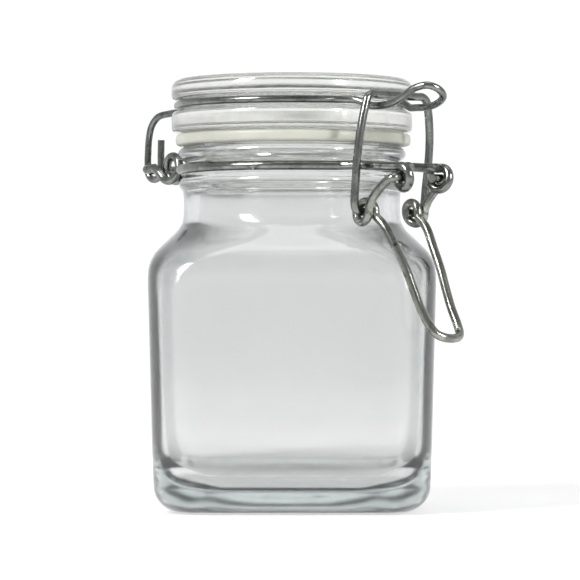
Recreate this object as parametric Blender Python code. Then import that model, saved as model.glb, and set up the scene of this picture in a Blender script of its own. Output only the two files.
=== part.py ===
"""Bail clamp jar: a small square glass storage jar with a glass lid, a rubber
gasket and a sprung wire clamp.

Axes: origin at the centre of the base, Z up, metres. The flat sides of the
body face X and Y. The clamp's front (lever) points along LATCH_AZ, which is
towards the +X, -Y corner; its hinge is opposite.
Wire shapes are written in the clamp's own frame: d outward towards the lever,
w sideways, z up.
"""

import math

import bmesh
import bpy
from mathutils import Vector

MM = 0.001

# ---------------------------------------------------------------- dimensions
LATCH_AZ = math.radians(-45.0)  # direction of the lever, from +X

# glass body
BODY_HALF_TOP = 29.5 * MM  # half width under the shoulder
BODY_HALF_BASE = 28.4 * MM  # half width just above the bottom edge
BODY_CORNER = 11.0 * MM  # plan corner radius
BASE_EDGE_R = 5.5 * MM
BODY_TOP_Z = 48.5 * MM
# outside of the shoulder, as (z, half width)
SHOULDER = [
    (z * MM, half * MM)
    for z, half in (
        (48.5, 29.5),
        (50.6, 29.25),
        (52.2, 28.7),
        (53.8, 27.7),
        (55.6, 26.0),
        (57.4, 24.3),
        (58.8, 23.2),
        (60.4, 22.7),
    )
]
WALL = 2.6 * MM
INNER_CORNER = 6.5 * MM  # plan corner radius inside
FLOOR_Z = 4.6 * MM  # inside floor
NECK_R = 22.7 * MM
NECK_Z0 = 60.0 * MM
NECK_Z1 = 65.2 * MM
LOW_BEAD_R = 23.9 * MM
LOW_BEAD_Z = (66.2 * MM, 69.1 * MM)
GROOVE_R = 22.1 * MM
RIM_R = 24.0 * MM
RIM_Z = (72.4 * MM, 75.2 * MM)
BORE_R = 19.6 * MM

# glass lid
LID_R = 25.4 * MM
LID_LOW_R = 25.3 * MM
LID_LOW_Z = (78.3 * MM, 82.75 * MM)
LID_GROOVE_R = 22.9 * MM
LID_UP_Z = (85.2 * MM, 89.5 * MM)
LID_PLUG_R = 18.4 * MM
LID_PLUG_Z = 74.6 * MM
LID_RECESS_R = 15.6 * MM
LID_RECESS_Z = 80.4 * MM

# gasket
GASKET_IN_R = 18.8 * MM
GASKET_OUT_R = 24.7 * MM
GASKET_Z = (75.5 * MM, 78.0 * MM)
GASKET_SHIFT = 0.25 * MM  # sits a little off centre, towards +X

# wires
NECK_WIRE_D = 1.9 * MM
LID_WIRE_D = 1.5 * MM
LEVER_WIRE_D = 1.8 * MM
TOGGLE_WIRE_D = 1.7 * MM
WIRE_SIDES = 10

NECK_RING_R = 23.45 * MM
NECK_RING_Z = 70.6 * MM
LID_RING_R = 24.05 * MM
LID_RING_Z = 84.0 * MM

# joint axes, as (d, z)
LEVER_PIVOT = (36.9 * MM, 67.9 * MM)
TOGGLE_PIVOT = (28.0 * MM, 61.1 * MM)
LID_HINGE = (-36.0 * MM, 71.4 * MM)

EYE_R = 2.15 * MM  # centreline radius of the front eyes
EYE_W = (6.15 * MM, 4.15 * MM)
COIL_R = 2.1 * MM  # centreline radius of the lever's coils
COIL_W = (8.3 * MM, 6.35 * MM)
REAR_COIL_R = 2.6 * MM
REAR_COIL = (-28.0 * MM, 71.4 * MM)
REAR_COIL_W = (7.2 * MM, 9.4 * MM)
HOOK_W = 6.2 * MM
HOOK_R = 2.1 * MM

BODY_SIDES = 96
ROUND_SIDES = 72

# ---------------------------------------------------------------- scene reset
for old in list(bpy.data.objects):
    bpy.data.objects.remove(old, do_unlink=True)

FWD = Vector((math.cos(LATCH_AZ), math.sin(LATCH_AZ), 0.0))
SIDE = Vector((math.sin(LATCH_AZ), -math.cos(LATCH_AZ), 0.0))


def clamp_to_world(p):
    d, w, z = p
    return FWD * d + SIDE * w + Vector((0.0, 0.0, z))


# ---------------------------------------------------------------- helpers
def material(name, colour, roughness, metallic=0.0, transmission=0.0, ior=1.5):
    mat = bpy.data.materials.new(name)
    mat.use_nodes = True
    bsdf = mat.node_tree.nodes["Principled BSDF"]
    bsdf.inputs["Base Color"].default_value = (*colour, 1.0)
    bsdf.inputs["Roughness"].default_value = roughness
    bsdf.inputs["Metallic"].default_value = metallic
    bsdf.inputs["Transmission Weight"].default_value = transmission
    bsdf.inputs["IOR"].default_value = ior
    mat.diffuse_color = (*colour, 1.0)
    return mat


def rounded_square(half, corner, count):
    """Points around a square with round corners. They are spread half by
    length and half by turning, so a circle comes out even and a corner fine."""
    corner = min(corner, half)
    flat = half - corner
    quarter_len = 2 * flat + corner * math.pi / 2
    n = count // 4

    def share(s):
        turned = 0.0
        if corner > 0:
            turned = min(max((s - flat) / (corner * math.pi / 2), 0.0), 1.0)
        return 0.5 * s / quarter_len + 0.5 * turned

    out = []
    for k in range(n):
        want, lo, hi = k / n, 0.0, quarter_len
        for _ in range(40):
            mid = (lo + hi) / 2
            if share(mid) < want:
                lo = mid
            else:
                hi = mid
        s = (lo + hi) / 2
        if s <= flat:
            p = (half, s)
        elif s < flat + corner * math.pi / 2:
            a = (s - flat) / corner
            p = (flat + corner * math.cos(a), flat + corner * math.sin(a))
        else:
            p = (quarter_len - s, half)
        out.append(p)
    pts = []
    for q in range(4):
        c, s_ = (1, 0, -1, 0)[q], (0, 1, 0, -1)[q]
        pts += [(x * c - y * s_, x * s_ + y * c) for x, y in out]
    return pts


def loft(name, loops, location=(0, 0, 0), closed=False):
    """Joins loops of points, each as [(x, y, z), ...]. Ends are capped unless
    the stack of loops closes on itself."""
    bm = bmesh.new()
    rings = [[bm.verts.new(p) for p in loop] for loop in loops]
    n = len(rings[0])
    pairs = list(zip(rings, rings[1:] + rings[:1]))
    if not closed:
        pairs = pairs[:-1]
    for a, b in pairs:
        for i in range(n):
            j = (i + 1) % n
            bm.faces.new((a[i], a[j], b[j], b[i]))
    if not closed:
        bm.faces.new(list(reversed(rings[0])))
        bm.faces.new(rings[-1])
    bmesh.ops.recalc_face_normals(bm, faces=bm.faces)
    mesh = bpy.data.meshes.new(name)
    bm.to_mesh(mesh)
    bm.free()
    for poly in mesh.polygons:
        poly.use_smooth = len(poly.vertices) == 4
    obj = bpy.data.objects.new(name, mesh)
    obj.location = location
    bpy.context.scene.collection.objects.link(obj)
    return obj


def arc(cx, cz, r, a0, a1, n):
    """n + 1 points of a profile arc, angles in degrees."""
    return [
        (
            cx + r * math.cos(math.radians(a0 + (a1 - a0) * i / n)),
            cz + r * math.sin(math.radians(a0 + (a1 - a0) * i / n)),
        )
        for i in range(n + 1)
    ]


def blend(a, b, t):
    return a + (b - a) * t


def ease(t):
    return t * t * (3 - 2 * t)


def catmull(points, per=8):
    """A smooth curve through the points."""
    out = []
    p = [points[0] * 2 - points[1]] + list(points) + [points[-1] * 2 - points[-2]]
    for i in range(1, len(p) - 2):
        p0, p1, p2, p3 = p[i - 1 : i + 3]
        t0 = 0.0
        t1 = t0 + max((p1 - p0).length, 1e-9) ** 0.5
        t2 = t1 + max((p2 - p1).length, 1e-9) ** 0.5
        t3 = t2 + max((p3 - p2).length, 1e-9) ** 0.5
        for k in range(per):
            t = t1 + (t2 - t1) * k / per
            a1 = p0 * ((t1 - t) / (t1 - t0)) + p1 * ((t - t0) / (t1 - t0))
            a2 = p1 * ((t2 - t) / (t2 - t1)) + p2 * ((t - t1) / (t2 - t1))
            a3 = p2 * ((t3 - t) / (t3 - t2)) + p3 * ((t - t2) / (t3 - t2))
            b1 = a1 * ((t2 - t) / (t2 - t0)) + a2 * ((t - t0) / (t2 - t0))
            b2 = a2 * ((t3 - t) / (t3 - t1)) + a3 * ((t - t1) / (t3 - t1))
            out.append(b1 * ((t2 - t) / (t2 - t1)) + b2 * ((t - t1) / (t2 - t1)))
    out.append(Vector(points[-1]))
    return out


def thin_out(points, turn_deg, longest):
    """Keeps a point where the line has turned enough or run far enough."""
    kept = [points[0]]
    for i in range(1, len(points) - 1):
        back = points[i] - kept[-1]
        ahead = points[i + 1] - points[i]
        if back.length < 0.25 * MM:
            continue
        if (
            math.degrees(back.angle(ahead)) * 2 >= turn_deg
            or (points[i + 1] - kept[-1]).length > longest
        ):
            kept.append(points[i])
    kept.append(points[-1])
    return kept


def wire(name, path, diameter, origin, turn_deg=15.0, longest=9.0 * MM):
    """A round wire bent along a path given in the clamp's frame."""
    pts = [clamp_to_world(p) for p in thin_out(path, turn_deg, longest)]
    curve = bpy.data.curves.new(name, "CURVE")
    curve.dimensions = "3D"
    curve.fill_mode = "FULL"
    curve.bevel_depth = diameter / 2
    curve.bevel_resolution = (WIRE_SIDES - 4) // 2
    curve.resolution_u = 1
    curve.render_resolution_u = 0
    curve.use_fill_caps = True
    curve.twist_mode = "MINIMUM"
    spline = curve.splines.new("POLY")
    spline.points.add(len(pts) - 1)
    for point, p in zip(spline.points, pts):
        point.co = (*(p - origin), 1.0)
    spline.use_smooth = True
    obj = bpy.data.objects.new(name, curve)
    obj.location = origin
    bpy.context.scene.collection.objects.link(obj)
    return obj


def V(d, w, z):
    return Vector((d * MM, w * MM, z * MM))


def turn(centre, r, w0, w1, a0, a1, n=28):
    """A coil about a sideways axis: angles in degrees from +d towards +z."""
    out = []
    for i in range(n + 1):
        t = i / n
        a = math.radians(a0 + (a1 - a0) * t)
        out.append(
            Vector(
                (
                    centre[0] + r * math.cos(a),
                    w0 + (w1 - w0) * ease(t),
                    centre[1] + r * math.sin(a),
                )
            )
        )
    return out


def mirrored(path):
    return [Vector((p.x, -p.y, p.z)) for p in reversed(path)]


# ---------------------------------------------------------------- glass jar
def body_half(z):
    t = min(max((z - BASE_EDGE_R) / (BODY_TOP_Z - BASE_EDGE_R), 0), 1)
    return blend(BODY_HALF_BASE, BODY_HALF_TOP, t)


def jar_sections():
    """(z, half width, corner radius) up the outside, over the rim and down
    the inside to the floor."""
    out = []
    # bottom edge
    for i in range(7):
        a = math.radians(90 * i / 6)
        inset = BASE_EDGE_R * (1 - math.sin(a))
        out.append(
            (
                BASE_EDGE_R * (1 - math.cos(a)),
                BODY_HALF_BASE - inset,
                BODY_CORNER - inset,
            )
        )
    for z in (18.0, 34.0, 44.0):
        out.append((z * MM, body_half(z * MM), BODY_CORNER))
    # shoulder: a rounded square sloping in to the round neck
    for z, half in SHOULDER:
        t = (BODY_HALF_TOP - half) / (BODY_HALF_TOP - NECK_R)
        out.append((z, half, blend(BODY_CORNER, half, min(max(t, 0), 1) ** 0.8)))
    # neck and beads
    neck = [(NECK_R, NECK_Z1)]
    zm = (LOW_BEAD_Z[0] + LOW_BEAD_Z[1]) / 2
    rb = (LOW_BEAD_Z[1] - LOW_BEAD_Z[0]) / 2
    neck += [
        (LOW_BEAD_R - rb + rb * math.cos(a), zm + rb * math.sin(a))
        for a in (math.radians(d) for d in (-70, -35, 0, 35, 70))
    ]
    neck += [(GROOVE_R, LOW_BEAD_Z[1] + 0.25 * MM), (GROOVE_R, RIM_Z[0] - 0.2 * MM)]
    zm = (RIM_Z[0] + RIM_Z[1]) / 2
    rb = (RIM_Z[1] - RIM_Z[0]) / 2
    neck += [
        (RIM_R - rb + rb * math.cos(a), zm + rb * math.sin(a))
        for a in (math.radians(d) for d in (-70, -35, 0, 35, 65))
    ]
    neck += [(RIM_R - 1.7 * MM, RIM_Z[1])]
    # over the rim
    neck += [(BORE_R + 1.0 * MM, RIM_Z[1])]
    neck += [(BORE_R + 0.35 * MM, RIM_Z[1] - 0.25 * MM), (BORE_R, RIM_Z[1] - 1.0 * MM)]
    neck += [(BORE_R, 63.0 * MM)]
    out += [(z, r, r) for r, z in neck]
    # inside of the shoulder
    for z, half in reversed(SHOULDER):
        t = (BODY_HALF_TOP - half) / (BODY_HALF_TOP - NECK_R)
        inner = blend(BODY_HALF_TOP - WALL, BORE_R, min(max(t, 0), 1))
        corner = blend(INNER_CORNER, inner, min(max(t, 0), 1) ** 0.8)
        out.append((z - WALL * 0.45, inner, corner))
    for z in (32.0, 20.0):
        out.append((z * MM, body_half(z * MM) - WALL, INNER_CORNER))
    # inside bottom edge
    r_in = 9.0 * MM
    for i in range(8):
        a = math.radians(90 * i / 7)
        inset = r_in * (1 - math.cos(a))
        out.append(
            (
                FLOOR_Z + r_in * (1 - math.sin(a)),
                BODY_HALF_BASE - WALL - inset,
                blend(INNER_CORNER, 6.5 * MM, i / 7),
            )
        )
    # a slightly domed floor
    out.append((FLOOR_Z + 0.55 * MM, 10.0 * MM, 7.5 * MM))
    out.append((FLOOR_Z + 0.9 * MM, 5.0 * MM, 4.5 * MM))
    return out


def make_jar():
    loops = [
        [(x, y, z) for x, y in rounded_square(half, corner, BODY_SIDES)]
        for z, half, corner in jar_sections()
    ]
    return loft("glass_jar", loops)


# ---------------------------------------------------------------- lid, gasket
def spin_loops(profile, sides, z_shift=0.0, x_shift=0.0):
    return [
        [
            (
                x_shift + r * math.cos(2 * math.pi * k / sides),
                r * math.sin(2 * math.pi * k / sides),
                z - z_shift,
            )
            for k in range(sides)
        ]
        for r, z in profile
    ]


def lid_profile():
    """From the middle of the recess, out under the lid, up the edge and in
    over the top."""
    z0, z1 = LID_LOW_Z
    u0, u1 = LID_UP_Z
    pts = [(5.0 * MM, LID_RECESS_Z), (11.0 * MM, LID_RECESS_Z - 0.5 * MM)]
    pts += [(14.2 * MM, LID_RECESS_Z - 1.6 * MM), (LID_RECESS_R, 77.4 * MM)]
    pts += [(LID_RECESS_R + 0.2 * MM, LID_PLUG_Z + 0.5 * MM)]
    pts += [(LID_RECESS_R + 0.9 * MM, LID_PLUG_Z)]
    pts += [(LID_PLUG_R - 0.9 * MM, LID_PLUG_Z)]
    pts += [(LID_PLUG_R, LID_PLUG_Z + 0.9 * MM), (LID_PLUG_R, z0)]
    pts += [(LID_LOW_R - 0.9 * MM, z0)]
    pts += arc(LID_LOW_R - 0.9 * MM, z0 + 0.9 * MM, 0.9 * MM, -60, 0, 2)
    pts += arc(LID_LOW_R - 1.0 * MM, z1 - 1.0 * MM, 1.0 * MM, 0, 90, 3)
    pts += [(LID_GROOVE_R, z1), (LID_GROOVE_R, u0)]
    pts += arc(LID_R - 0.9 * MM, u0 + 0.9 * MM, 0.9 * MM, -90, 0, 3)
    pts += arc(LID_R - 2.2 * MM, u1 - 2.2 * MM, 2.2 * MM, 10, 90, 4)
    pts += [(12.0 * MM, u1)]
    return pts


def make_lid(origin):
    loops = spin_loops(lid_profile(), ROUND_SIDES, origin.z)
    loops = [[(x - origin.x, y - origin.y, z) for x, y, z in loop] for loop in loops]
    return loft("glass_lid", loops, origin)


def make_gasket(origin):
    z0, z1 = GASKET_Z
    r0, r1 = GASKET_IN_R, GASKET_OUT_R
    e = 0.7 * MM
    prof = [(r0, z1), (r0, z0), (r1 - e, z0)]
    prof += arc(r1 - e, z0 + e, e, -45, 0, 1) + arc(r1 - e, z1 - e, e, 0, 90, 2)
    loops = spin_loops(prof, ROUND_SIDES, origin.z, GASKET_SHIFT)
    loops = [[(x - origin.x, y - origin.y, z) for x, y, z in loop] for loop in loops]
    return loft("gasket", loops, origin, closed=True)


# ---------------------------------------------------------------- wire paths
def ring_arc(r, z, w_start, w_end, front_start, front_end, n=44):
    """Points on a ring from the rear (or front) at sideways w_start to the
    other end, going round the +w side."""
    a0 = math.asin(w_start / r)
    a1 = math.asin(w_end / r)
    a0 = a0 if front_start else math.pi - a0
    a1 = a1 if front_end else math.pi - a1
    return [
        Vector(
            (
                r * math.cos(a0 + (a1 - a0) * i / n),
                r * math.sin(a0 + (a1 - a0) * i / n),
                z,
            )
        )
        for i in range(n + 1)
    ]


def neck_wire_path():
    px, pz = LEVER_PIVOT
    # eye: enters on top, over the outside, once round and a little more
    eye = turn(LEVER_PIVOT, EYE_R, EYE_W[1], EYE_W[0], 90 - 385, 90)
    top = Vector((px, EYE_W[0], pz + EYE_R))
    strand = catmull(
        [
            top + V(-0.6, 0.0, 0.0),
            top + V(-5.0, 0.75, 0.2),
            Vector((26.4 * MM, 8.0 * MM, NECK_RING_Z)),
            Vector((23.5 * MM, 8.9 * MM, NECK_RING_Z)),
            Vector((22.0 * MM, 9.9 * MM, NECK_RING_Z)),
            Vector((20.6 * MM, 11.35 * MM, NECK_RING_Z)),
        ],
        8,
    )
    ring = ring_arc(NECK_RING_R, NECK_RING_Z, 12.4 * MM, 12.6 * MM, True, False)
    cx, cz = REAR_COIL
    low = Vector((cx, REAR_COIL_W[0], cz - REAR_COIL_R))
    join = catmull(
        [
            Vector((-20.9 * MM, 10.9 * MM, NECK_RING_Z - 0.1 * MM)),
            Vector((-22.4 * MM, 9.2 * MM, NECK_RING_Z - 0.6 * MM)),
            Vector((-24.0 * MM, 7.8 * MM, NECK_RING_Z - 1.35 * MM)),
            low + V(1.0, 0.05, 0.02),
        ],
        8,
    )
    # rear coil: from the bottom, outwards and up, once round, then back out
    coil = turn(REAR_COIL, REAR_COIL_R, REAR_COIL_W[0], REAR_COIL_W[1], -90, -90 - 415)
    hx, hz = LID_HINGE
    bar = catmull(
        [
            Vector((hx + 3.6 * MM, REAR_COIL_W[1] + 0.1 * MM, hz + 0.25 * MM)),
            Vector((hx + 1.6 * MM, REAR_COIL_W[1] - 0.05 * MM, hz + 0.05 * MM)),
            Vector((hx + 0.5 * MM, REAR_COIL_W[1] - 0.55 * MM, hz)),
            Vector((hx, REAR_COIL_W[1] - 1.7 * MM, hz)),
            Vector((hx, REAR_COIL_W[1] - 3.4 * MM, hz)),
        ],
        8,
    )
    half = eye + strand + ring + join + coil + bar
    return half + mirrored(half)


def lid_wire_path():
    r, z = LID_RING_R, LID_RING_Z
    hx, hz = LID_HINGE
    # tongue: out from the ring, dips under the toggle, rises to a round tip
    near = [
        V(42.45, 0.3, 85.1),
        V(42.2, 1.5, 85.8),
        V(41.1, 3.0, 86.25),
        V(38.6, 4.0, 85.7),
        V(36.2, 4.6, 84.2),
        V(34.0, 5.1, 83.1),
        V(32.0, 5.5, 82.6),
        V(30.2, 5.8, 82.5),
    ]
    far = [
        V(42.45, 0.3, 85.1),
        V(41.9, -1.0, 84.3),
        V(40.3, -2.2, 83.5),
        V(37.6, -3.3, 82.8),
        V(34.6, -4.3, 82.5),
        V(32.2, -5.1, 82.5),
        V(30.2, -5.7, 82.6),
    ]
    root = [
        Vector((28.2 * MM, 6.15 * MM, z - 1.3 * MM)),
        Vector((26.2 * MM, 6.6 * MM, z - 0.45 * MM)),
        Vector((24.6 * MM, 7.2 * MM, z - 0.03 * MM)),
        Vector((23.2 * MM, 8.1 * MM, z)),
        Vector((21.9 * MM, 9.8 * MM, z)),
    ]
    flip = [Vector((p.x, -p.y, p.z)) for p in root]
    tongue = catmull(list(reversed(flip)) + list(reversed(far))[:-1] + near + root, 8)
    ring = ring_arc(r, z, 11.0 * MM, 11.6 * MM, True, False)
    hook = catmull(
        [
            Vector((-22.2 * MM, 9.5 * MM, z)),
            Vector((-24.2 * MM, 7.9 * MM, z - 0.1 * MM)),
            Vector((-27.0 * MM, 6.7 * MM, z - 0.35 * MM)),
            Vector((-31.0 * MM, 6.25 * MM, z - 0.6 * MM)),
            Vector((-34.8 * MM, HOOK_W, z - 1.2 * MM)),
            Vector((-36.8 * MM, HOOK_W, z - 3.0 * MM)),
            Vector((-37.7 * MM, HOOK_W, z - 5.6 * MM)),
            Vector((hx - HOOK_R, HOOK_W, hz + 2.6 * MM)),
        ],
        8,
    )
    under = turn(LID_HINGE, HOOK_R, HOOK_W, HOOK_W, 180, 360, 16)
    end = [Vector((hx + HOOK_R, HOOK_W, hz + 3.0 * MM))]
    end += [Vector((hx + HOOK_R + 0.1 * MM, HOOK_W, hz + 6.4 * MM))]
    half = ring + hook + under + end
    return mirrored(half) + tongue + half


def lever_path():
    px, pz = LEVER_PIVOT
    qx, qz = TOGGLE_PIVOT
    w0, w1 = COIL_W
    pin = [Vector((px, 3.1 * MM, pz)), Vector((px, 6.6 * MM, pz))]
    crank = catmull(
        [
            Vector((px, 6.9 * MM, pz)),
            Vector((px - 0.25 * MM, w0 - 0.35 * MM, pz - 0.1 * MM)),
            Vector((px - 1.3 * MM, w0, pz - 0.55 * MM)),
            Vector((px - 3.3 * MM, w0, pz - 1.9 * MM)),
            Vector((qx + COIL_R + 1.2 * MM, w0, qz + 2.7 * MM)),
            Vector((qx + COIL_R + 0.15 * MM, w0, qz + 0.9 * MM)),
        ],
        8,
    )
    coil = turn(TOGGLE_PIVOT, COIL_R, w0, w1, 0, -360)
    arm = catmull(
        [
            Vector((qx + COIL_R + 0.15 * MM, w1, qz - 0.9 * MM)),
            V(32.6, 6.15, 58.0),
            V(35.2, 5.6, 53.6),
            V(37.5, 5.15, 49.4),
            V(39.2, 4.85, 45.4),
            V(40.8, 4.6, 41.8),
            V(42.7, 4.25, 38.6),
            V(44.1, 3.5, 36.6),
            V(45.0, 1.9, 35.8),
            V(45.3, 0.0, 35.6),
        ],
        8,
    )
    half = pin + crank + coil + arm
    return half[:-1] + mirrored(half)


def toggle_path():
    qx, qz = TOGGLE_PIVOT
    end = [Vector((qx, 5.0 * MM, qz)), Vector((qx, 8.4 * MM, qz))]
    arm = catmull(
        [
            Vector((qx, 8.7 * MM, qz)),
            Vector((qx + 0.03 * MM, 9.75 * MM, qz + 0.3 * MM)),
            Vector((qx + 0.1 * MM, 10.3 * MM, qz + 1.5 * MM)),
            V(28.5, 10.45, 66.5),
            V(29.1, 10.6, 71.5),
            V(29.7, 10.3, 77.0),
            V(30.15, 9.3, 82.4),
            V(30.2, 8.7, 84.1),
            V(30.2, 7.5, 84.8),
            V(30.2, 6.0, 84.8),
        ],
        8,
    )
    half = end + arm
    return half + mirrored(half)


# ---------------------------------------------------------------- build
hinge_point = clamp_to_world((LID_HINGE[0], 0.0, LID_HINGE[1]))
lever_point = clamp_to_world((LEVER_PIVOT[0], 0.0, LEVER_PIVOT[1]))
toggle_point = clamp_to_world((TOGGLE_PIVOT[0], 0.0, TOGGLE_PIVOT[1]))

jar = make_jar()
lid_empty = bpy.data.objects.new("lid_hinge_axis", None)
lid_empty.location = hinge_point
bpy.context.scene.collection.objects.link(lid_empty)

lid = make_lid(hinge_point)
gasket = make_gasket(hinge_point)
neck_wire = wire("neck_wire", neck_wire_path(), NECK_WIRE_D, Vector((0, 0, 0)))
lid_wire = wire("lid_wire", lid_wire_path(), LID_WIRE_D, hinge_point)
lever = wire("lever", lever_path(), LEVER_WIRE_D, lever_point)
toggle = wire("toggle_bail", toggle_path(), TOGGLE_WIRE_D, toggle_point)

bpy.context.view_layer.update()
for child, parent in (
    (lid_empty, neck_wire),
    (lid, lid_empty),
    (gasket, lid_empty),
    (lid_wire, lid_empty),
    (lever, neck_wire),
    (toggle, lever),
):
    child.parent = parent
    child.matrix_parent_inverse = parent.matrix_world.inverted()
    bpy.context.view_layer.update()

glass = material("clear_glass", (0.86, 0.92, 0.91), 0.03, 0.0, 1.0, 1.5)
lid_glass = material("clear_lid_glass", (0.87, 0.91, 0.88), 0.05, 0.0, 1.0, 1.5)
rubber = material("white_gasket_rubber", (0.70, 0.69, 0.62), 0.45)
steel = {
    "neck_wire": material("zinc_neck_wire", (0.62, 0.62, 0.60), 0.32, 1.0),
    "lid_wire": material("zinc_lid_wire", (0.60, 0.60, 0.58), 0.34, 1.0),
    "lever": material("zinc_lever_wire", (0.64, 0.63, 0.61), 0.30, 1.0),
    "toggle_bail": material("zinc_toggle_wire", (0.63, 0.62, 0.60), 0.30, 1.0),
}
jar.data.materials.append(glass)
lid.data.materials.append(lid_glass)
gasket.data.materials.append(rubber)
for obj in (neck_wire, lid_wire, lever, toggle):
    obj.data.materials.append(steel[obj.name])
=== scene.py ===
"""Looks for the bail clamp jar: finer meshes of each sub-part, procedural
materials, soft studio light and the camera."""

import math

import bmesh
import bpy
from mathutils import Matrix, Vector


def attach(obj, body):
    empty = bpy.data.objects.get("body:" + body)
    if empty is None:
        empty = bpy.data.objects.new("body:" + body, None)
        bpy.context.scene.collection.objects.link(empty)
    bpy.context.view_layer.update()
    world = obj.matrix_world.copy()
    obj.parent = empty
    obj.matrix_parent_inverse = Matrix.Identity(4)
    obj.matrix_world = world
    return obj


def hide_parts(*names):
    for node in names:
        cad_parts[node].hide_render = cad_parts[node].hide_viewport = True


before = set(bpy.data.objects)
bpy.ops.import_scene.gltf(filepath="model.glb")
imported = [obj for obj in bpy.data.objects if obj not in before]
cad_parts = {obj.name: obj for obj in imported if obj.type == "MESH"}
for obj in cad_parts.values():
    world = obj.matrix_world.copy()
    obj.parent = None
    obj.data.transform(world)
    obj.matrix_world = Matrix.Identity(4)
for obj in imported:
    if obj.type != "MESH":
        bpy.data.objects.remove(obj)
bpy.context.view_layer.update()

MM = 0.001

# tints and light levels
JAR_TINT = ((0.835, 0.837, 0.832), (0.86, 0.862, 0.857))
LID_TINT = ((0.92, 0.92, 0.895), (0.95, 0.95, 0.925))
WORLD_UP = ((0.0, 1.0), (0.16, 0.97), (0.35, 0.72), (1.0, 0.5))
WORLD_BACK = ((0.0, 0.42), (0.45, 0.62), (0.78, 1.0), (1.0, 1.0))
WORLD_STRENGTH = 1.05
KEY = 8.0
FILL = 5.0
TOP = 0.8

# ---------------------------------------------------------------- dimensions
LATCH_AZ = math.radians(-45.0)  # direction of the lever, from +X

# glass body
BODY_HALF_TOP = 29.5 * MM  # half width under the shoulder
BODY_HALF_BASE = 28.4 * MM  # half width just above the bottom edge
BODY_CORNER = 11.0 * MM  # plan corner radius
BASE_EDGE_R = 5.5 * MM
BODY_TOP_Z = 48.5 * MM
# outside of the shoulder, as (z, half width)
SHOULDER = [
    (z * MM, half * MM)
    for z, half in (
        (48.5, 29.5),
        (50.6, 29.25),
        (52.2, 28.7),
        (53.8, 27.7),
        (55.6, 26.0),
        (57.4, 24.3),
        (58.8, 23.2),
        (60.4, 22.7),
    )
]
WALL = 2.6 * MM
INNER_CORNER = 6.5 * MM  # plan corner radius inside
FLOOR_Z = 4.6 * MM  # inside floor
NECK_R = 22.7 * MM
NECK_Z0 = 60.0 * MM
NECK_Z1 = 65.2 * MM
LOW_BEAD_R = 23.9 * MM
LOW_BEAD_Z = (66.2 * MM, 69.1 * MM)
GROOVE_R = 22.1 * MM
RIM_R = 24.0 * MM
RIM_Z = (72.4 * MM, 75.2 * MM)
BORE_R = 19.6 * MM

# glass lid
LID_R = 25.4 * MM
LID_LOW_R = 25.3 * MM
LID_LOW_Z = (78.3 * MM, 82.75 * MM)
LID_GROOVE_R = 22.9 * MM
LID_UP_Z = (85.2 * MM, 89.5 * MM)
LID_PLUG_R = 18.4 * MM
LID_PLUG_Z = 74.6 * MM
LID_RECESS_R = 15.6 * MM
LID_RECESS_Z = 80.4 * MM

# gasket
GASKET_IN_R = 18.8 * MM
GASKET_OUT_R = 24.7 * MM
GASKET_Z = (75.5 * MM, 78.0 * MM)
GASKET_SHIFT = 0.25 * MM  # sits a little off centre, towards +X

# wires
NECK_WIRE_D = 1.9 * MM
LID_WIRE_D = 1.5 * MM
LEVER_WIRE_D = 1.8 * MM
TOGGLE_WIRE_D = 1.7 * MM
WIRE_SIDES = 28

NECK_RING_R = 23.45 * MM
NECK_RING_Z = 70.6 * MM
LID_RING_R = 24.05 * MM
LID_RING_Z = 84.0 * MM

# joint axes, as (d, z)
LEVER_PIVOT = (36.9 * MM, 67.9 * MM)
TOGGLE_PIVOT = (28.0 * MM, 61.1 * MM)
LID_HINGE = (-36.0 * MM, 71.4 * MM)

EYE_R = 2.15 * MM  # centreline radius of the front eyes
EYE_W = (6.15 * MM, 4.15 * MM)
COIL_R = 2.1 * MM  # centreline radius of the lever's coils
COIL_W = (8.3 * MM, 6.35 * MM)
REAR_COIL_R = 2.6 * MM
REAR_COIL = (-28.0 * MM, 71.4 * MM)
REAR_COIL_W = (7.2 * MM, 9.4 * MM)
HOOK_W = 6.2 * MM
HOOK_R = 2.1 * MM

BODY_SIDES = 128
ROUND_SIDES = 128

FWD = Vector((math.cos(LATCH_AZ), math.sin(LATCH_AZ), 0.0))
SIDE = Vector((math.sin(LATCH_AZ), -math.cos(LATCH_AZ), 0.0))


def clamp_to_world(p):
    d, w, z = p
    return FWD * d + SIDE * w + Vector((0.0, 0.0, z))


# ---------------------------------------------------------------- helpers
def rounded_square(half, corner, count):
    """Points around a square with round corners. They are spread half by
    length and half by turning, so a circle comes out even and a corner fine."""
    corner = min(corner, half)
    flat = half - corner
    quarter_len = 2 * flat + corner * math.pi / 2
    n = count // 4

    def share(s):
        turned = 0.0
        if corner > 0:
            turned = min(max((s - flat) / (corner * math.pi / 2), 0.0), 1.0)
        return 0.5 * s / quarter_len + 0.5 * turned

    out = []
    for k in range(n):
        want, lo, hi = k / n, 0.0, quarter_len
        for _ in range(40):
            mid = (lo + hi) / 2
            if share(mid) < want:
                lo = mid
            else:
                hi = mid
        s = (lo + hi) / 2
        if s <= flat:
            p = (half, s)
        elif s < flat + corner * math.pi / 2:
            a = (s - flat) / corner
            p = (flat + corner * math.cos(a), flat + corner * math.sin(a))
        else:
            p = (quarter_len - s, half)
        out.append(p)
    pts = []
    for q in range(4):
        c, s_ = (1, 0, -1, 0)[q], (0, 1, 0, -1)[q]
        pts += [(x * c - y * s_, x * s_ + y * c) for x, y in out]
    return pts


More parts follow.
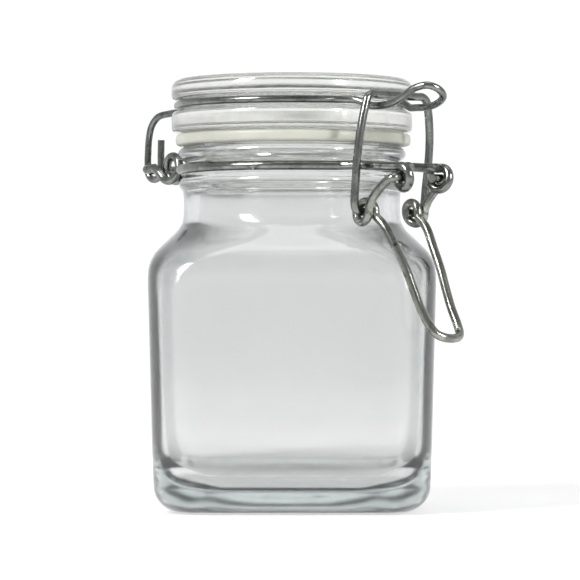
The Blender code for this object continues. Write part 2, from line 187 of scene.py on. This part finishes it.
def loft(name, loops, location=(0, 0, 0), closed=False):
    """Joins loops of points, each as [(x, y, z), ...]. Ends are capped unless
    the stack of loops closes on itself."""
    bm = bmesh.new()
    rings = [[bm.verts.new(p) for p in loop] for loop in loops]
    n = len(rings[0])
    pairs = list(zip(rings, rings[1:] + rings[:1]))
    if not closed:
        pairs = pairs[:-1]
    for a, b in pairs:
        for i in range(n):
            j = (i + 1) % n
            bm.faces.new((a[i], a[j], b[j], b[i]))
    if not closed:
        bm.faces.new(list(reversed(rings[0])))
        bm.faces.new(rings[-1])
    bmesh.ops.recalc_face_normals(bm, faces=bm.faces)
    mesh = bpy.data.meshes.new(name)
    bm.to_mesh(mesh)
    bm.free()
    for poly in mesh.polygons:
        poly.use_smooth = len(poly.vertices) == 4
    obj = bpy.data.objects.new(name, mesh)
    obj.location = location
    bpy.context.scene.collection.objects.link(obj)
    return obj


def arc(cx, cz, r, a0, a1, n):
    """n + 1 points of a profile arc, angles in degrees."""
    return [
        (
            cx + r * math.cos(math.radians(a0 + (a1 - a0) * i / n)),
            cz + r * math.sin(math.radians(a0 + (a1 - a0) * i / n)),
        )
        for i in range(n + 1)
    ]


def blend(a, b, t):
    return a + (b - a) * t


def ease(t):
    return t * t * (3 - 2 * t)


def catmull(points, per=20):
    """A smooth curve through the points."""
    out = []
    p = [points[0] * 2 - points[1]] + list(points) + [points[-1] * 2 - points[-2]]
    for i in range(1, len(p) - 2):
        p0, p1, p2, p3 = p[i - 1 : i + 3]
        t0 = 0.0
        t1 = t0 + max((p1 - p0).length, 1e-9) ** 0.5
        t2 = t1 + max((p2 - p1).length, 1e-9) ** 0.5
        t3 = t2 + max((p3 - p2).length, 1e-9) ** 0.5
        for k in range(per):
            t = t1 + (t2 - t1) * k / per
            a1 = p0 * ((t1 - t) / (t1 - t0)) + p1 * ((t - t0) / (t1 - t0))
            a2 = p1 * ((t2 - t) / (t2 - t1)) + p2 * ((t - t1) / (t2 - t1))
            a3 = p2 * ((t3 - t) / (t3 - t2)) + p3 * ((t - t2) / (t3 - t2))
            b1 = a1 * ((t2 - t) / (t2 - t0)) + a2 * ((t - t0) / (t2 - t0))
            b2 = a2 * ((t3 - t) / (t3 - t1)) + a3 * ((t - t1) / (t3 - t1))
            out.append(b1 * ((t2 - t) / (t2 - t1)) + b2 * ((t - t1) / (t2 - t1)))
    out.append(Vector(points[-1]))
    return out


def thin_out(points, turn_deg, longest):
    """Keeps a point where the line has turned enough or run far enough."""
    kept = [points[0]]
    for i in range(1, len(points) - 1):
        back = points[i] - kept[-1]
        ahead = points[i + 1] - points[i]
        if back.length < 0.12 * MM:
            continue
        if (
            math.degrees(back.angle(ahead)) * 2 >= turn_deg
            or (points[i + 1] - kept[-1]).length > longest
        ):
            kept.append(points[i])
    kept.append(points[-1])
    return kept


def wire(name, path, diameter, origin, turn_deg=5.0, longest=0.8 * MM):
    """A round wire bent along a path given in the clamp's frame."""
    pts = [clamp_to_world(p) for p in thin_out(path, turn_deg, longest)]
    curve = bpy.data.curves.new(name, "CURVE")
    curve.dimensions = "3D"
    curve.fill_mode = "FULL"
    curve.bevel_depth = diameter / 2
    curve.bevel_resolution = (WIRE_SIDES - 4) // 2
    curve.resolution_u = 1
    curve.render_resolution_u = 0
    curve.use_fill_caps = True
    curve.twist_mode = "MINIMUM"
    spline = curve.splines.new("POLY")
    spline.points.add(len(pts) - 1)
    for point, p in zip(spline.points, pts):
        point.co = (*(p - origin), 1.0)
    spline.use_smooth = True
    obj = bpy.data.objects.new(name, curve)
    obj.location = origin
    bpy.context.scene.collection.objects.link(obj)
    return obj


def V(d, w, z):
    return Vector((d * MM, w * MM, z * MM))


def turn(centre, r, w0, w1, a0, a1, n=110):
    """A coil about a sideways axis: angles in degrees from +d towards +z."""
    out = []
    for i in range(n + 1):
        t = i / n
        a = math.radians(a0 + (a1 - a0) * t)
        out.append(
            Vector(
                (
                    centre[0] + r * math.cos(a),
                    w0 + (w1 - w0) * ease(t),
                    centre[1] + r * math.sin(a),
                )
            )
        )
    return out


def mirrored(path):
    return [Vector((p.x, -p.y, p.z)) for p in reversed(path)]


# ---------------------------------------------------------------- glass jar
def body_half(z):
    t = min(max((z - BASE_EDGE_R) / (BODY_TOP_Z - BASE_EDGE_R), 0), 1)
    return blend(BODY_HALF_BASE, BODY_HALF_TOP, t)


def jar_sections():
    """(z, half width, corner radius) up the outside, over the rim and down
    the inside to the floor."""
    out = []
    # bottom edge
    for i in range(7):
        a = math.radians(90 * i / 6)
        inset = BASE_EDGE_R * (1 - math.sin(a))
        out.append(
            (
                BASE_EDGE_R * (1 - math.cos(a)),
                BODY_HALF_BASE - inset,
                BODY_CORNER - inset,
            )
        )
    for z in (18.0, 34.0, 44.0):
        out.append((z * MM, body_half(z * MM), BODY_CORNER))
    # shoulder: a rounded square sloping in to the round neck
    for z, half in SHOULDER:
        t = (BODY_HALF_TOP - half) / (BODY_HALF_TOP - NECK_R)
        out.append((z, half, blend(BODY_CORNER, half, min(max(t, 0), 1) ** 0.8)))
    # neck and beads
    neck = [(NECK_R, NECK_Z1)]
    zm = (LOW_BEAD_Z[0] + LOW_BEAD_Z[1]) / 2
    rb = (LOW_BEAD_Z[1] - LOW_BEAD_Z[0]) / 2
    neck += [
        (LOW_BEAD_R - rb + rb * math.cos(a), zm + rb * math.sin(a))
        for a in (math.radians(d) for d in (-70, -35, 0, 35, 70))
    ]
    neck += [(GROOVE_R, LOW_BEAD_Z[1] + 0.25 * MM), (GROOVE_R, RIM_Z[0] - 0.2 * MM)]
    zm = (RIM_Z[0] + RIM_Z[1]) / 2
    rb = (RIM_Z[1] - RIM_Z[0]) / 2
    neck += [
        (RIM_R - rb + rb * math.cos(a), zm + rb * math.sin(a))
        for a in (math.radians(d) for d in (-70, -35, 0, 35, 65))
    ]
    neck += [(RIM_R - 1.7 * MM, RIM_Z[1])]
    # over the rim
    neck += [(BORE_R + 1.0 * MM, RIM_Z[1])]
    neck += [(BORE_R + 0.35 * MM, RIM_Z[1] - 0.25 * MM), (BORE_R, RIM_Z[1] - 1.0 * MM)]
    neck += [(BORE_R, 63.0 * MM)]
    out += [(z, r, r) for r, z in neck]
    # inside of the shoulder
    for z, half in reversed(SHOULDER):
        t = (BODY_HALF_TOP - half) / (BODY_HALF_TOP - NECK_R)
        inner = blend(BODY_HALF_TOP - WALL, BORE_R, min(max(t, 0), 1))
        corner = blend(INNER_CORNER, inner, min(max(t, 0), 1) ** 0.8)
        out.append((z - WALL * 0.45, inner, corner))
    for z in (32.0, 20.0):
        out.append((z * MM, body_half(z * MM) - WALL, INNER_CORNER))
    # inside bottom edge
    r_in = 9.0 * MM
    for i in range(8):
        a = math.radians(90 * i / 7)
        inset = r_in * (1 - math.cos(a))
        out.append(
            (
                FLOOR_Z + r_in * (1 - math.sin(a)),
                BODY_HALF_BASE - WALL - inset,
                blend(INNER_CORNER, 6.5 * MM, i / 7),
            )
        )
    # a slightly domed floor
    out.append((FLOOR_Z + 0.55 * MM, 10.0 * MM, 7.5 * MM))
    out.append((FLOOR_Z + 0.9 * MM, 5.0 * MM, 4.5 * MM))
    return out


def make_jar():
    loops = [
        [(x, y, z) for x, y in rounded_square(half, corner, BODY_SIDES)]
        for z, half, corner in jar_sections()
    ]
    return loft("jar_glass_fine", loops)


# ---------------------------------------------------------------- lid, gasket
def spin_loops(profile, sides, z_shift=0.0, x_shift=0.0):
    return [
        [
            (
                x_shift + r * math.cos(2 * math.pi * k / sides),
                r * math.sin(2 * math.pi * k / sides),
                z - z_shift,
            )
            for k in range(sides)
        ]
        for r, z in profile
    ]


def lid_profile():
    """From the middle of the recess, out under the lid, up the edge and in
    over the top."""
    z0, z1 = LID_LOW_Z
    u0, u1 = LID_UP_Z
    pts = [(5.0 * MM, LID_RECESS_Z), (11.0 * MM, LID_RECESS_Z - 0.5 * MM)]
    pts += [(14.2 * MM, LID_RECESS_Z - 1.6 * MM), (LID_RECESS_R, 77.4 * MM)]
    pts += [(LID_RECESS_R + 0.2 * MM, LID_PLUG_Z + 0.5 * MM)]
    pts += [(LID_RECESS_R + 0.9 * MM, LID_PLUG_Z)]
    pts += [(LID_PLUG_R - 0.9 * MM, LID_PLUG_Z)]
    pts += [(LID_PLUG_R, LID_PLUG_Z + 0.9 * MM), (LID_PLUG_R, z0)]
    pts += [(LID_LOW_R - 0.9 * MM, z0)]
    pts += arc(LID_LOW_R - 0.9 * MM, z0 + 0.9 * MM, 0.9 * MM, -60, 0, 2)
    pts += arc(LID_LOW_R - 1.0 * MM, z1 - 1.0 * MM, 1.0 * MM, 0, 90, 3)
    pts += [(LID_GROOVE_R, z1), (LID_GROOVE_R, u0)]
    pts += arc(LID_R - 0.9 * MM, u0 + 0.9 * MM, 0.9 * MM, -90, 0, 3)
    pts += arc(LID_R - 2.2 * MM, u1 - 2.2 * MM, 2.2 * MM, 10, 90, 4)
    pts += [(12.0 * MM, u1)]
    return pts


def make_lid(origin):
    loops = spin_loops(lid_profile(), ROUND_SIDES, origin.z)
    loops = [[(x - origin.x, y - origin.y, z) for x, y, z in loop] for loop in loops]
    return loft("lid_glass_fine", loops, origin)


def make_gasket(origin):
    z0, z1 = GASKET_Z
    r0, r1 = GASKET_IN_R, GASKET_OUT_R
    e = 0.7 * MM
    prof = [(r0, z1), (r0, z0), (r1 - e, z0)]
    prof += arc(r1 - e, z0 + e, e, -45, 0, 1) + arc(r1 - e, z1 - e, e, 0, 90, 2)
    loops = spin_loops(prof, ROUND_SIDES, origin.z, GASKET_SHIFT)
    loops = [[(x - origin.x, y - origin.y, z) for x, y, z in loop] for loop in loops]
    return loft("gasket_fine", loops, origin, closed=True)


# ---------------------------------------------------------------- wire paths
def ring_arc(r, z, w_start, w_end, front_start, front_end, n=200):
    """Points on a ring from the rear (or front) at sideways w_start to the
    other end, going round the +w side."""
    a0 = math.asin(w_start / r)
    a1 = math.asin(w_end / r)
    a0 = a0 if front_start else math.pi - a0
    a1 = a1 if front_end else math.pi - a1
    return [
        Vector(
            (
                r * math.cos(a0 + (a1 - a0) * i / n),
                r * math.sin(a0 + (a1 - a0) * i / n),
                z,
            )
        )
        for i in range(n + 1)
    ]


def neck_wire_path():
    px, pz = LEVER_PIVOT
    # eye: enters on top, over the outside, once round and a little more
    eye = turn(LEVER_PIVOT, EYE_R, EYE_W[1], EYE_W[0], 90 - 385, 90)
    top = Vector((px, EYE_W[0], pz + EYE_R))
    strand = catmull(
        [
            top + V(-0.6, 0.0, 0.0),
            top + V(-5.0, 0.75, 0.2),
            Vector((26.4 * MM, 8.0 * MM, NECK_RING_Z)),
            Vector((23.5 * MM, 8.9 * MM, NECK_RING_Z)),
            Vector((22.0 * MM, 9.9 * MM, NECK_RING_Z)),
            Vector((20.6 * MM, 11.35 * MM, NECK_RING_Z)),
        ],
        20,
    )
    ring = ring_arc(NECK_RING_R, NECK_RING_Z, 12.4 * MM, 12.6 * MM, True, False)
    cx, cz = REAR_COIL
    low = Vector((cx, REAR_COIL_W[0], cz - REAR_COIL_R))
    join = catmull(
        [
            Vector((-20.9 * MM, 10.9 * MM, NECK_RING_Z - 0.1 * MM)),
            Vector((-22.4 * MM, 9.2 * MM, NECK_RING_Z - 0.6 * MM)),
            Vector((-24.0 * MM, 7.8 * MM, NECK_RING_Z - 1.35 * MM)),
            low + V(1.0, 0.05, 0.02),
        ],
        20,
    )
    # rear coil: from the bottom, outwards and up, once round, then back out
    coil = turn(REAR_COIL, REAR_COIL_R, REAR_COIL_W[0], REAR_COIL_W[1], -90, -90 - 415)
    hx, hz = LID_HINGE
    bar = catmull(
        [
            Vector((hx + 3.6 * MM, REAR_COIL_W[1] + 0.1 * MM, hz + 0.25 * MM)),
            Vector((hx + 1.6 * MM, REAR_COIL_W[1] - 0.05 * MM, hz + 0.05 * MM)),
            Vector((hx + 0.5 * MM, REAR_COIL_W[1] - 0.55 * MM, hz)),
            Vector((hx, REAR_COIL_W[1] - 1.7 * MM, hz)),
            Vector((hx, REAR_COIL_W[1] - 3.4 * MM, hz)),
        ],
        20,
    )
    half = eye + strand + ring + join + coil + bar
    return half + mirrored(half)


def lid_wire_path():
    r, z = LID_RING_R, LID_RING_Z
    hx, hz = LID_HINGE
    # tongue: out from the ring, dips under the toggle, rises to a round tip
    near = [
        V(42.45, 0.3, 85.1),
        V(42.2, 1.5, 85.8),
        V(41.1, 3.0, 86.25),
        V(38.6, 4.0, 85.7),
        V(36.2, 4.6, 84.2),
        V(34.0, 5.1, 83.1),
        V(32.0, 5.5, 82.6),
        V(30.2, 5.8, 82.5),
    ]
    far = [
        V(42.45, 0.3, 85.1),
        V(41.9, -1.0, 84.3),
        V(40.3, -2.2, 83.5),
        V(37.6, -3.3, 82.8),
        V(34.6, -4.3, 82.5),
        V(32.2, -5.1, 82.5),
        V(30.2, -5.7, 82.6),
    ]
    root = [
        Vector((28.2 * MM, 6.15 * MM, z - 1.3 * MM)),
        Vector((26.2 * MM, 6.6 * MM, z - 0.45 * MM)),
        Vector((24.6 * MM, 7.2 * MM, z - 0.03 * MM)),
        Vector((23.2 * MM, 8.1 * MM, z)),
        Vector((21.9 * MM, 9.8 * MM, z)),
    ]
    flip = [Vector((p.x, -p.y, p.z)) for p in root]
    tongue = catmull(list(reversed(flip)) + list(reversed(far))[:-1] + near + root, 20)
    ring = ring_arc(r, z, 11.0 * MM, 11.6 * MM, True, False)
    hook = catmull(
        [
            Vector((-22.2 * MM, 9.5 * MM, z)),
            Vector((-24.2 * MM, 7.9 * MM, z - 0.1 * MM)),
            Vector((-27.0 * MM, 6.7 * MM, z - 0.35 * MM)),
            Vector((-31.0 * MM, 6.25 * MM, z - 0.6 * MM)),
            Vector((-34.8 * MM, HOOK_W, z - 1.2 * MM)),
            Vector((-36.8 * MM, HOOK_W, z - 3.0 * MM)),
            Vector((-37.7 * MM, HOOK_W, z - 5.6 * MM)),
            Vector((hx - HOOK_R, HOOK_W, hz + 2.6 * MM)),
        ],
        20,
    )
    under = turn(LID_HINGE, HOOK_R, HOOK_W, HOOK_W, 180, 360, 48)
    end = [Vector((hx + HOOK_R, HOOK_W, hz + 3.0 * MM))]
    end += [Vector((hx + HOOK_R + 0.1 * MM, HOOK_W, hz + 6.4 * MM))]
    half = ring + hook + under + end
    return mirrored(half) + tongue + half


def lever_path():
    px, pz = LEVER_PIVOT
    qx, qz = TOGGLE_PIVOT
    w0, w1 = COIL_W
    pin = [Vector((px, 3.1 * MM, pz)), Vector((px, 6.6 * MM, pz))]
    crank = catmull(
        [
            Vector((px, 6.9 * MM, pz)),
            Vector((px - 0.25 * MM, w0 - 0.35 * MM, pz - 0.1 * MM)),
            Vector((px - 1.3 * MM, w0, pz - 0.55 * MM)),
            Vector((px - 3.3 * MM, w0, pz - 1.9 * MM)),
            Vector((qx + COIL_R + 1.2 * MM, w0, qz + 2.7 * MM)),
            Vector((qx + COIL_R + 0.15 * MM, w0, qz + 0.9 * MM)),
        ],
        20,
    )
    coil = turn(TOGGLE_PIVOT, COIL_R, w0, w1, 0, -360)
    arm = catmull(
        [
            Vector((qx + COIL_R + 0.15 * MM, w1, qz - 0.9 * MM)),
            V(32.6, 6.15, 58.0),
            V(35.2, 5.6, 53.6),
            V(37.5, 5.15, 49.4),
            V(39.2, 4.85, 45.4),
            V(40.8, 4.6, 41.8),
            V(42.7, 4.25, 38.6),
            V(44.1, 3.5, 36.6),
            V(45.0, 1.9, 35.8),
            V(45.3, 0.0, 35.6),
        ],
        20,
    )
    half = pin + crank + coil + arm
    return half[:-1] + mirrored(half)


def toggle_path():
    qx, qz = TOGGLE_PIVOT
    end = [Vector((qx, 5.0 * MM, qz)), Vector((qx, 8.4 * MM, qz))]
    arm = catmull(
        [
            Vector((qx, 8.7 * MM, qz)),
            Vector((qx + 0.03 * MM, 9.75 * MM, qz + 0.3 * MM)),
            Vector((qx + 0.1 * MM, 10.3 * MM, qz + 1.5 * MM)),
            V(28.5, 10.45, 66.5),
            V(29.1, 10.6, 71.5),
            V(29.7, 10.3, 77.0),
            V(30.15, 9.3, 82.4),
            V(30.2, 8.7, 84.1),
            V(30.2, 7.5, 84.8),
            V(30.2, 6.0, 84.8),
        ],
        20,
    )
    half = end + arm
    return half + mirrored(half)


# ---------------------------------------------------------------- materials
def nodes_of(mat):
    return mat.node_tree.nodes, mat.node_tree.links, mat.node_tree.nodes["Principled BSDF"]


def coords(n, l, scale=(1, 1, 1)):
    co = n.new("ShaderNodeTexCoord")
    mp = n.new("ShaderNodeMapping")
    mp.inputs["Scale"].default_value = scale
    l.new(co.outputs["Object"], mp.inputs["Vector"])
    return mp.outputs["Vector"]


def noise(n, l, vec, scale, detail=3.0, rough=0.55):
    t = n.new("ShaderNodeTexNoise")
    t.inputs["Scale"].default_value = scale
    t.inputs["Detail"].default_value = detail
    t.inputs["Roughness"].default_value = rough
    l.new(vec, t.inputs["Vector"])
    return t.outputs["Fac"]


def ramp(n, l, fac, stops):
    r = n.new("ShaderNodeValToRGB")
    els = r.color_ramp.elements
    while len(els) < len(stops):
        els.new(0.5)
    for e, (p, c) in zip(els, stops):
        e.position = p
        e.color = (*c, 1.0) if len(c) == 3 else (c[0], c[0], c[0], 1.0)
    l.new(fac, r.inputs["Fac"])
    return r.outputs["Color"]


def bump(n, l, height, strength, distance):
    b = n.new("ShaderNodeBump")
    b.inputs["Strength"].default_value = strength
    b.inputs["Distance"].default_value = distance
    l.new(height, b.inputs["Height"])
    return b.outputs["Normal"]


def glass_material(name, low, high, wave_dist, wave_scale, edge, density, edge_teal_and_shade):
    """Pressed glass: a faint tint that varies, slow ripples in the surface
    and fine rubbed specks in the gloss."""
    mat = bpy.data.materials.new(name)
    mat.use_nodes = True
    n, l, b = nodes_of(mat)
    b.inputs["Metallic"].default_value = 0.0
    b.inputs["Transmission Weight"].default_value = 1.0
    b.inputs["IOR"].default_value = 1.5
    b.inputs["Coat Weight"].default_value = 0.35
    b.inputs["Coat Roughness"].default_value = 0.03
    vec = coords(n, l)
    tint = ramp(n, l, noise(n, l, vec, 55.0), [(0.3, low), (0.7, high)])
    # painted shade at the edges: where the surface is seen edge-on the base colour turns a darker teal;
    # the teal is the glass's own colour through its thickness, the darkening is painted shade for the
    # darker edges
    rim = n.new("ShaderNodeLayerWeight")
    rim.inputs["Blend"].default_value = 0.5
    edge_shade_amount = ramp(n, l, rim.outputs["Facing"], [(0.55, (0.0,)), (0.97, (1.0,))])
    mix = n.new("ShaderNodeMix")
    mix.data_type = "RGBA"
    l.new(edge_shade_amount, mix.inputs["Factor"])
    l.new(tint, mix.inputs["A"])
    mix.inputs["B"].default_value = (*edge_teal_and_shade, 1.0)
    l.new(mix.outputs["Result"], b.inputs["Base Color"])
    l.new(
        ramp(n, l, noise(n, l, vec, 420.0, 5.0), [(0.35, (0.11,)), (0.75, (0.18,))]),
        b.inputs["Roughness"],
    )
    ripple = noise(n, l, coords(n, l, wave_scale), 60.0, 1.5, 0.4)
    l.new(bump(n, l, ripple, 0.5, wave_dist), b.inputs["Normal"])
    vol = n.new("ShaderNodeVolumeAbsorption")
    vol.inputs["Color"].default_value = (*edge, 1.0)
    vol.inputs["Density"].default_value = density
    l.new(vol.outputs["Volume"], n["Material Output"].inputs["Volume"])
    return mat


def wire_material(name, base, dark, seed):
    """Zinc plate on drawn wire: dull patches, fine specks in the surface, and grime."""
    mat = bpy.data.materials.new(name)
    mat.use_nodes = True
    n, l, b = nodes_of(mat)
    b.inputs["Metallic"].default_value = 1.0
    vec = coords(n, l)
    off = n.new("ShaderNodeMapping")
    off.inputs["Location"].default_value = (seed, seed * 0.7, -seed)
    l.new(vec, off.inputs["Vector"])
    vec = off.outputs["Vector"]
    patch = noise(n, l, vec, 260.0, 5.0, 0.6)
    grime = noise(n, l, vec, 900.0, 6.0, 0.7)
    clean = ramp(n, l, patch, [(0.35, tuple(c * 0.5 for c in base)), (0.6, base)])
    dirt = ramp(n, l, grime, [(0.56, (0.0,)), (0.68, (1.0,))])
    mix = n.new("ShaderNodeMix")
    mix.data_type = "RGBA"
    l.new(dirt, mix.inputs["Factor"])
    l.new(clean, mix.inputs["A"])
    mix.inputs["B"].default_value = (*dark, 1.0)
    l.new(mix.outputs["Result"], b.inputs["Base Color"])
    l.new(ramp(n, l, patch, [(0.3, (0.30,)), (0.7, (0.10,))]), b.inputs["Roughness"])
    l.new(bump(n, l, grime, 0.35, 0.00012), b.inputs["Normal"])
    return mat


def rubber_material():
    mat = bpy.data.materials.new("gasket_silicone")
    mat.use_nodes = True
    n, l, b = nodes_of(mat)
    vec = coords(n, l)
    l.new(
        ramp(n, l, noise(n, l, vec, 120.0, 5.0), [(0.3, (0.66, 0.66, 0.58)), (0.7, (0.76, 0.76, 0.69))]),
        b.inputs["Base Color"],
    )
    l.new(ramp(n, l, noise(n, l, vec, 700.0), [(0.3, (0.35,)), (0.7, (0.55,))]), b.inputs["Roughness"])
    b.inputs["Transmission Weight"].default_value = 0.5
    b.inputs["IOR"].default_value = 1.43
    b.inputs["Subsurface Weight"].default_value = 0.3
    b.inputs["Subsurface Radius"].default_value = (0.003, 0.0028, 0.002)
    l.new(bump(n, l, noise(n, l, coords(n, l, (1, 1, 9)), 300.0), 0.3, 0.0001), b.inputs["Normal"])
    return mat


# ---------------------------------------------------------------- pieces
def smooth_all(obj):
    for p in obj.data.polygons:
        p.use_smooth = True


def as_mesh(obj, name):
    bpy.context.view_layer.update()
    dg = bpy.context.evaluated_depsgraph_get()
    mesh = bpy.data.meshes.new_from_object(obj.evaluated_get(dg))
    mesh.transform(obj.matrix_world)
    new = bpy.data.objects.new(name, mesh)
    bpy.context.scene.collection.objects.link(new)
    bpy.data.objects.remove(obj, do_unlink=True)
    mesh.name = name
    smooth_all(new)
    return new


def settle(obj, body, node, mat):
    obj.data.materials.clear()
    obj.data.materials.append(mat)
    for p in obj.data.polygons:
        p.material_index = 0
    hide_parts(node)
    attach(obj, body)


def subdivide(obj, levels):
    mod = obj.modifiers.new("smooth", "SUBSURF")
    mod.levels = levels
    mod.render_levels = levels


ZERO = Vector((0, 0, 0))
jar = make_jar()
smooth_all(jar)
subdivide(jar, 1)
jar = as_mesh(jar, "jar_glass_fine_mesh")
lid = make_lid(ZERO)
smooth_all(lid)
subdivide(lid, 1)
lid = as_mesh(lid, "lid_glass_fine_mesh")
gasket = make_gasket(ZERO)
smooth_all(gasket)
subdivide(gasket, 1)
gasket = as_mesh(gasket, "gasket_fine_mesh")

# the last colour given to each glass is its edge colour: a darker teal, partly the glass's own teal and
# partly painted shade at grazing edges
settle(jar, "jar", "glass_jar", glass_material("jar_glass", JAR_TINT[0], JAR_TINT[1], 0.0005, (1, 1, 0.5), (0.35, 0.62, 0.60), 6.0, (0.58, 0.68, 0.67)))
settle(lid, "lid", "glass_lid", glass_material("lid_glass", LID_TINT[0], LID_TINT[1], 0.0004, (0.6, 0.6, 2.0), (0.6, 0.66, 0.55), 3.0, (0.66, 0.68, 0.65)))
settle(gasket, "lid", "gasket", rubber_material())

for node, path, dia, body, seed, base in (
    ("neck_wire", neck_wire_path(), NECK_WIRE_D, "clamp", 0.1, (0.27, 0.285, 0.262)),
    ("lid_wire", lid_wire_path(), LID_WIRE_D, "lid", 0.3, (0.24, 0.252, 0.238)),
    ("lever", lever_path(), LEVER_WIRE_D, "latch_lever", 0.5, (0.34, 0.35, 0.315)),
    ("toggle_bail", toggle_path(), TOGGLE_WIRE_D, "toggle", 0.7, (0.27, 0.283, 0.268)),
):
    w = as_mesh(wire(node + "_curve", path, dia, ZERO), node + "_fine")
    settle(w, body, node, wire_material(node + "_zinc", base, (0.03, 0.03, 0.028), seed))

# ---------------------------------------------------------------- stage
bpy.ops.mesh.primitive_circle_add(vertices=96, radius=0.34, fill_type="NGON", location=(0, 0, -0.0002))
floor = bpy.context.object
floor.name = "floor"
fm = bpy.data.materials.new("floor_white")
fm.use_nodes = True
fm.node_tree.nodes["Principled BSDF"].inputs["Base Color"].default_value = (0.57, 0.57, 0.57, 1)
fm.node_tree.nodes["Principled BSDF"].inputs["Emission Color"].default_value = (1, 1, 1, 1)
fm.node_tree.nodes["Principled BSDF"].inputs["Emission Strength"].default_value = 0.44
fm.node_tree.nodes["Principled BSDF"].inputs["Roughness"].default_value = 0.7
floor.data.materials.append(fm)

world = bpy.data.worlds.new("studio")
bpy.context.scene.world = world
world.use_nodes = True
wn, wl = world.node_tree.nodes, world.node_tree.links
geo = wn.new("ShaderNodeTexCoord")
sep = wn.new("ShaderNodeSeparateXYZ")
wl.new(geo.outputs["Generated"], sep.inputs[0])


def world_ramp(fac, stops):
    r = wn.new("ShaderNodeValToRGB")
    els = r.color_ramp.elements
    while len(els) < len(stops):
        els.new(0.5)
    for e, (p, v) in zip(els, stops):
        e.position = p
        e.color = (v, v * 1.003, v * 1.008, 1.0)
    wl.new(fac, r.inputs["Fac"])
    return r.outputs["Color"]


up = world_ramp(sep.outputs["Z"], WORLD_UP)
half = wn.new("ShaderNodeMath")
half.operation = "MULTIPLY_ADD"
half.inputs[1].default_value = 0.5
half.inputs[2].default_value = 0.5
wl.new(sep.outputs["Y"], half.inputs[0])
back = world_ramp(half.outputs[0], WORLD_BACK)
mul = wn.new("ShaderNodeMix")
mul.data_type = "RGBA"
mul.blend_type = "MULTIPLY"
mul.inputs["Factor"].default_value = 1.0
wl.new(up, mul.inputs["A"])
wl.new(back, mul.inputs["B"])
bg = wn["Background"]
wl.new(mul.outputs["Result"], bg.inputs["Color"])
bg.inputs["Strength"].default_value = WORLD_STRENGTH


def area(name, loc, target, size, watts, colour=(1, 1, 1), shape=None):
    d = bpy.data.lights.new(name, "AREA")
    d.energy = watts
    d.color = colour
    d.shape = "RECTANGLE"
    d.size, d.size_y = size
    o = bpy.data.objects.new(name, d)
    o.location = loc
    o.rotation_euler = (Vector(target) - Vector(loc)).to_track_quat("-Z", "Y").to_euler()
    bpy.context.scene.collection.objects.link(o)
    return o


area("key_left", (-0.55, -0.45, 0.55), (0, 0, 0.05), (0.18, 0.45), KEY)
area("fill_right", (0.6, -0.55, 0.35), (0, 0, 0.05), (0.10, 0.30), FILL)
area("top", (0.05, -0.1, 0.8), (0, 0, 0.05), (0.5, 0.3), TOP)

cam = bpy.data.cameras.new("camera")
cam.lens = 191.5
cam.sensor_width = 36.0
cam.clip_start = 0.01
cam.shift_x = -2.0 / 580
cam.shift_y = 5.0 / 580
camera = bpy.data.objects.new("camera", cam)
camera.location = (0.0, -0.648, 0.0443)
camera.rotation_euler = (math.pi / 2, 0.0, 0.0)
bpy.context.scene.collection.objects.link(camera)
bpy.context.scene.camera = camera
bpy.context.scene.view_settings.view_transform = "Standard"
bpy.context.scene.cycles.max_bounces = 24
bpy.context.scene.cycles.transmission_bounces = 24
